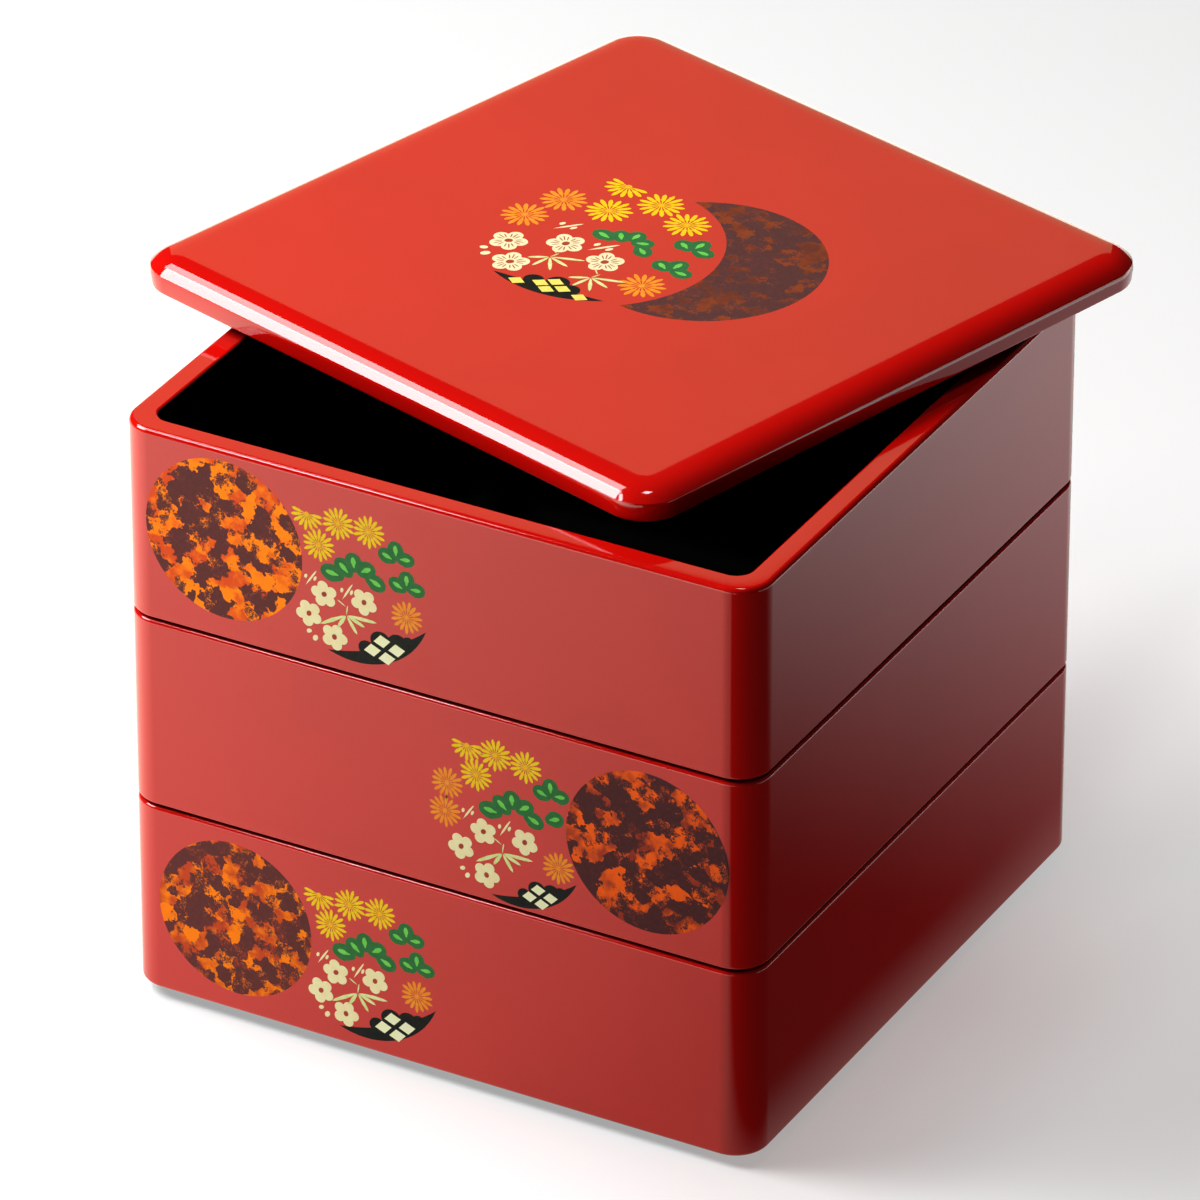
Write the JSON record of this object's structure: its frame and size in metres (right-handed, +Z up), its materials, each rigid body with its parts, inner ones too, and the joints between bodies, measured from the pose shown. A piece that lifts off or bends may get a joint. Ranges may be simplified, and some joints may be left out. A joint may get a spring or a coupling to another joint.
{
  "type": "tiered food box",
  "caption": "Square stacking food box in red lacquer with black-lined tiers; the lid lies askew on the open top tier.",
  "frame": {"origin": "middle of the underside of the bottom tier's foot, where the box stands", "axes": "+Z up, -Y towards the decorated front, +X to the right seen from the front"},
  "size_m": [0.2392, 0.2523, 0.1928],
  "materials": {
    "red_lacquer": "vermilion lacquer outside and glossy black lacquer inside, polished to a mirror gloss",
    "painted_ornament": "flat painted ornament in gold, orange, cream, green and black under the same clear gloss"
  },
  "bodies": {
    "root": {"lid": "red_lacquer", "top_tier": "red_lacquer", "middle_tier": "red_lacquer", "bottom_tier": "red_lacquer"}
  },
  "joints": []
}
